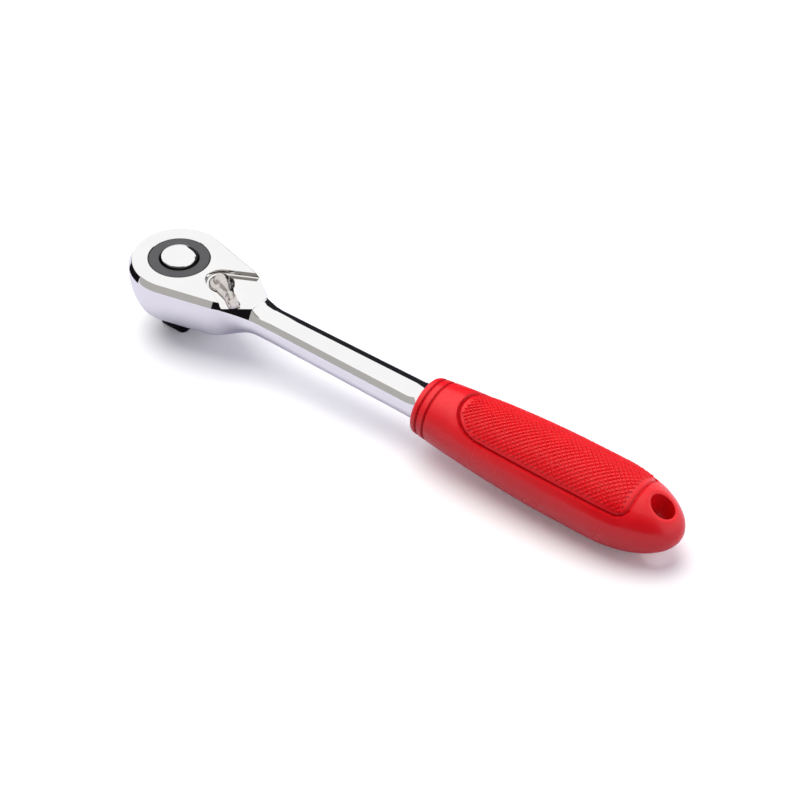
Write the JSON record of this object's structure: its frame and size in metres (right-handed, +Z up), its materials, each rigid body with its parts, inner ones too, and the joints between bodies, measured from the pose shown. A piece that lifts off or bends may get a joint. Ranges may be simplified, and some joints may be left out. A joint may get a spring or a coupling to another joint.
{
  "type": "ratchet handle",
  "caption": "Reversible ratchet handle: square drive and gear in a pear-shaped head, quick-release button, reversing lever, round shaft and a moulded grip with a hanging hole.",
  "frame": {"origin": "centre of the square drive's tip face, on the drive axis", "axes": "+Z up the drive axis to the release button, +X along the handle to the end of the grip, +Y to the side that the reversing lever is thrown away from at rest"},
  "size_m": [0.2499, 0.0398, 0.0384],
  "materials": {
    "chrome_plate": "polished chrome plate on forged steel",
    "grip_plastic": "semi-gloss moulded red plastic with a knurled panel",
    "black_oxide_steel": "dark phosphated steel, machined",
    "spring_steel": "plain drawn spring steel",
    "bearing_steel": "hardened and ground steel",
    "satin_nickel": "satin nickel plate on a casting",
    "seal_rubber": "nitrile rubber"
  },
  "bodies": {
    "handle": {"body_forging": "chrome_plate", "grip": "grip_plastic", "cover_disc": "black_oxide_steel", "snap_ring": "spring_steel"},
    "drive": {"drive_gear": "black_oxide_steel", "button_spring": "spring_steel", "drag_ring": "seal_rubber"},
    "button": {"release_button": "chrome_plate"},
    "ball": {"detent_ball": "bearing_steel"},
    "lever": {"reverse_lever": "satin_nickel", "lever_o_ring": "seal_rubber", "detent_plunger": "bearing_steel", "detent_spring": "spring_steel"},
    "pawl": {"pawl": "bearing_steel"}
  },
  "joints": [
    {"name": "drive_spin", "type": "hinge", "parent": "handle", "child": "drive", "pos_m": [0, 0, 0.0225], "axis": [0, 0, 1], "continuous": true},
    {"name": "button_press", "type": "slide", "parent": "drive", "child": "button", "axis": [0, 0, -1], "range_m": [0, 0.0025], "stiffness_N_per_m": 2000, "springref_m": -0.002, "deforming": ["button_spring"]},
    {"name": "ball_slide", "type": "slide", "parent": "drive", "child": "ball", "axis": [1, 0, 0], "range_m": [0, 0.0009]},
    {"name": "lever_flip", "type": "hinge", "parent": "handle", "child": "lever", "pos_m": [0.0215, 0, 0.0306], "axis": [0, 0, 1], "range_deg": [0, 62]},
    {"name": "pawl_rock", "type": "hinge", "parent": "handle", "child": "pawl", "pos_m": [0.0215, 0, 0.02245], "axis": [0, 0, 1], "range_deg": [-8.3, 0.3]}
  ],
  "couplings": [
    {"joint": "ball_slide", "follows": "button_press", "ratio": 0.36},
    {"joint": "pawl_rock", "follows": "lever_flip", "ratio": -0.12903}
  ]
}
